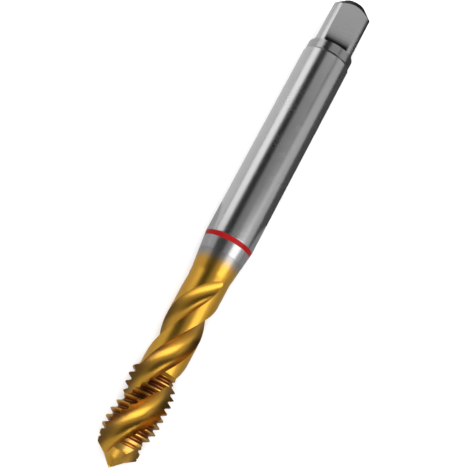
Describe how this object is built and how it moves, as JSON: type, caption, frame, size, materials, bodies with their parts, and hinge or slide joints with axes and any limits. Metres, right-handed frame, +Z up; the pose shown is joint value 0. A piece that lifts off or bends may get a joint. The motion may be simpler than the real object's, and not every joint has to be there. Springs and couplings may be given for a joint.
{
  "type": "spiral flute machine thread tap",
  "caption": "Spiral-flute machine tap: gold-coated fluted thread and neck, tapered up to a ground steel shank with a red ring and a square drive end.",
  "frame": {"origin": "on the floor, under the middle of the tap's length", "axes": "+X along the tap's axis, from the cutting point to the driving square; +Z up, square to one flat of the square"},
  "size_m": [0.1056, 0.01, 0.01],
  "materials": {
    "tool_steel": "ground high-speed steel, gold titanium nitride coating on the thread, flutes and neck that fades out on the taper, and a red enamel ring where the shank begins"
  },
  "bodies": {
    "root": {"tap": "tool_steel"}
  },
  "joints": []
}
